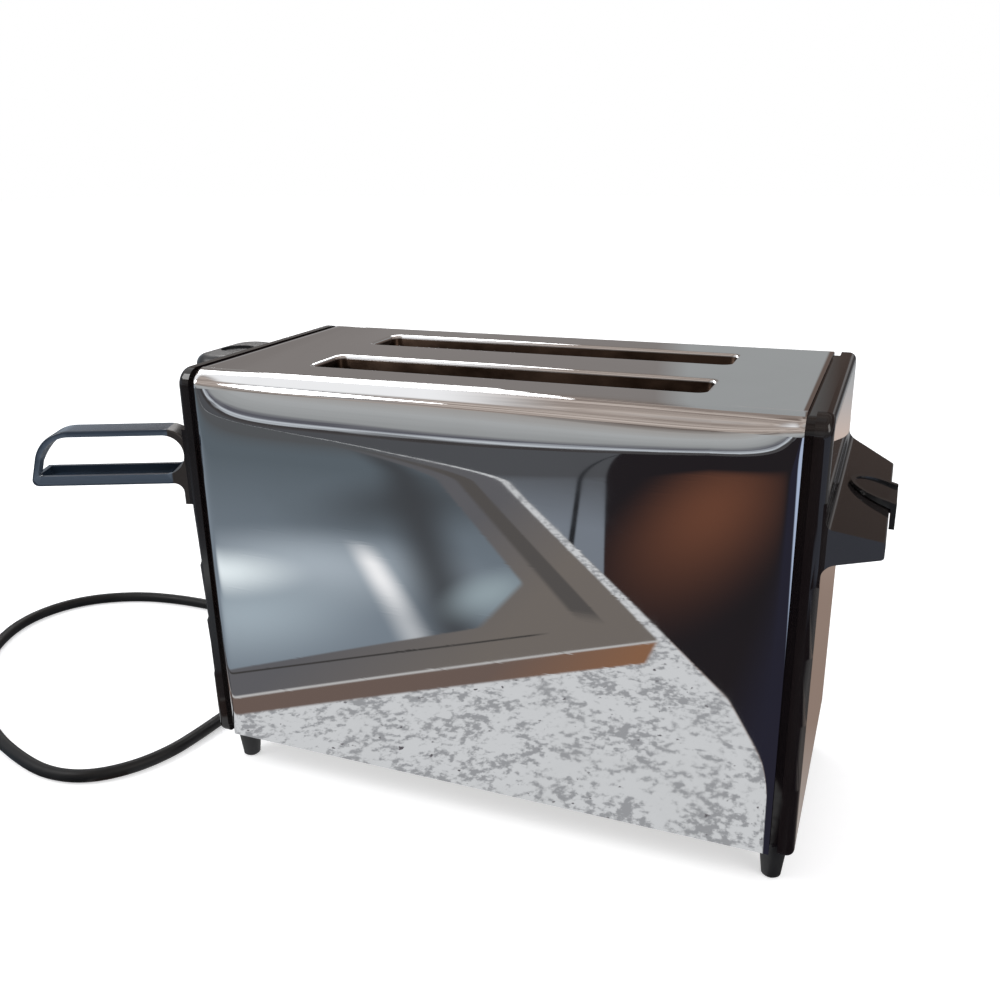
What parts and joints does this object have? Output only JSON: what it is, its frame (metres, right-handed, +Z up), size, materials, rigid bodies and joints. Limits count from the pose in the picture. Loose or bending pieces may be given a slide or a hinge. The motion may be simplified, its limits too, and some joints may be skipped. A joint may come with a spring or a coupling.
{
  "type": "toaster",
  "caption": "Slim two-slot toaster: chrome shell between black ends, loop handle and carriage lever on one end, ledge with a browning slider on the other, looped mains lead.",
  "frame": {"origin": "bottom centre of the whole object without its lead, on the table", "axes": "+X along the bread slots towards the browning slider, +Y from the front face to the back, +Z up"},
  "size_m": [0.4854, 0.2569, 0.1865],
  "materials": {
    "chrome": "polished",
    "end_gloss": "glossy",
    "handle_gloss": "glossy",
    "knob_black": "satin",
    "slider_black": "glossy",
    "foot_rubber": "matte",
    "sheet_steel": "satin",
    "dull_wire": "satin",
    "mica": "matte",
    "ribbon": "satin",
    "magnet_iron": "satin",
    "timer_plastic": "satin",
    "terminal_plastic": "satin",
    "cord_rubber": "satin",
    "blade_brass": "polished"
  },
  "bodies": {
    "root": {"chrome_shell": "chrome", "left_end_plate": "chrome", "right_end_plate_upper": "chrome", "right_end_plate_lower": "chrome", "left_end_cap": "end_gloss", "right_end_cap": "end_gloss", "side_handle": "handle_gloss", "handle_screws": "sheet_steel", "base_pan": "sheet_steel", "pan_screws": "sheet_steel", "foot_front_left": "foot_rubber", "foot_front_right": "foot_rubber", "foot_back_left": "foot_rubber", "foot_back_right": "foot_rubber", "tray_hinge_pin": "sheet_steel", "left_bulkhead": "sheet_steel", "right_bulkhead": "sheet_steel", "heater_card_front": "mica", "heater_card_centre": "mica", "heater_card_back": "mica", "heater_ribbon_front": "ribbon", "heater_ribbon_centre_front": "ribbon", "heater_ribbon_centre_back": "ribbon", "heater_ribbon_back": "ribbon", "bread_guard_front_outer": "dull_wire", "bread_guard_front_inner": "dull_wire", "bread_guard_back_inner": "dull_wire", "bread_guard_back_outer": "dull_wire", "guide_rod": "sheet_steel", "return_spring": "sheet_steel", "hold_magnet": "magnet_iron", "timer_box": "timer_plastic", "terminal_block": "terminal_plastic", "slider_rail": "sheet_steel", "cord_gland": "cord_rubber", "cord_lead": "cord_rubber", "cord_coil": "cord_rubber", "cord_tail": "cord_rubber", "plug_body": "cord_rubber", "plug_blades": "blade_brass"},
    "carriage": {"carriage_bracket": "sheet_steel", "slide_bush": "terminal_plastic", "bread_rack_front": "dull_wire", "bread_rack_back": "dull_wire", "lever_arm": "sheet_steel", "lever_knob": "knob_black", "armature": "magnet_iron"},
    "browning": {"slider_knob": "slider_black", "slider_carrier": "timer_plastic"},
    "tray": {"crumb_tray": "sheet_steel"}
  },
  "joints": [
    {"name": "carriage_slide", "type": "slide", "parent": "root", "child": "carriage", "axis": [0, 0, -1], "range_m": [0, 0.08], "stiffness_N_per_m": 60, "springref_m": -0.05, "deforming": ["return_spring"]},
    {"name": "browning_slide", "type": "slide", "parent": "root", "child": "browning", "axis": [0, 1, 0], "range_m": [-0.022, 0.022]},
    {"name": "crumb_tray_hinge", "type": "hinge", "parent": "root", "child": "tray", "pos_m": [0.02496, 0.05985, 0.0169], "axis": [1, 0, 0], "range_deg": [0, 85]}
  ]
}
